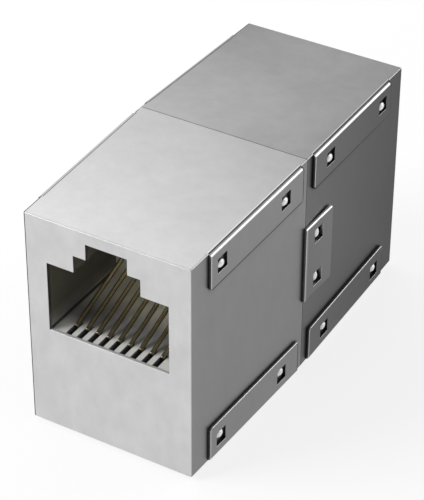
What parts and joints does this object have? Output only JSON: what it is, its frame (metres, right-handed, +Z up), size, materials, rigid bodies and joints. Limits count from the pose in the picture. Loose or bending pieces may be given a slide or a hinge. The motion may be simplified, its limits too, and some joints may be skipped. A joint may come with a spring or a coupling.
{
  "type": "rj45 inline coupler",
  "caption": "Shielded inline coupler: a folded metal body in two tapering halves with a stepped modular port at each end and sprung contact wires on the port floor.",
  "frame": {"origin": "centre of the length and the width, at the height of the lowest edge of the middle seam", "axes": "+Z up, Y along the length with the pictured port facing -Y, +X to the right seen from that port"},
  "size_m": [0.0178, 0.0374, 0.0225],
  "materials": {
    "front_steel": "satin nickel-plated sheet",
    "rear_steel": "satin nickel-plated sheet",
    "housing_plastic": "fine moulded grey",
    "carrier_plastic": "fine moulded grey",
    "contact_metal": "dull bronze wire",
    "board": "solder-masked laminate"
  },
  "bodies": {
    "root": {"front_shell": "front_steel", "rear_shell": "rear_steel", "front_housing": "housing_plastic", "rear_housing": "housing_plastic", "front_contact_carrier": "carrier_plastic", "rear_contact_carrier": "carrier_plastic", "circuit_board": "board", "front_contact_1": "contact_metal", "front_contact_2": "contact_metal", "front_contact_3": "contact_metal", "front_contact_4": "contact_metal", "front_contact_5": "contact_metal", "front_contact_6": "contact_metal", "front_contact_7": "contact_metal", "front_contact_8": "contact_metal", "front_contact_9": "contact_metal", "rear_contact_1": "contact_metal", "rear_contact_2": "contact_metal", "rear_contact_3": "contact_metal", "rear_contact_4": "contact_metal", "rear_contact_5": "contact_metal", "rear_contact_6": "contact_metal", "rear_contact_7": "contact_metal", "rear_contact_8": "contact_metal", "rear_contact_9": "contact_metal"}
  },
  "joints": []
}
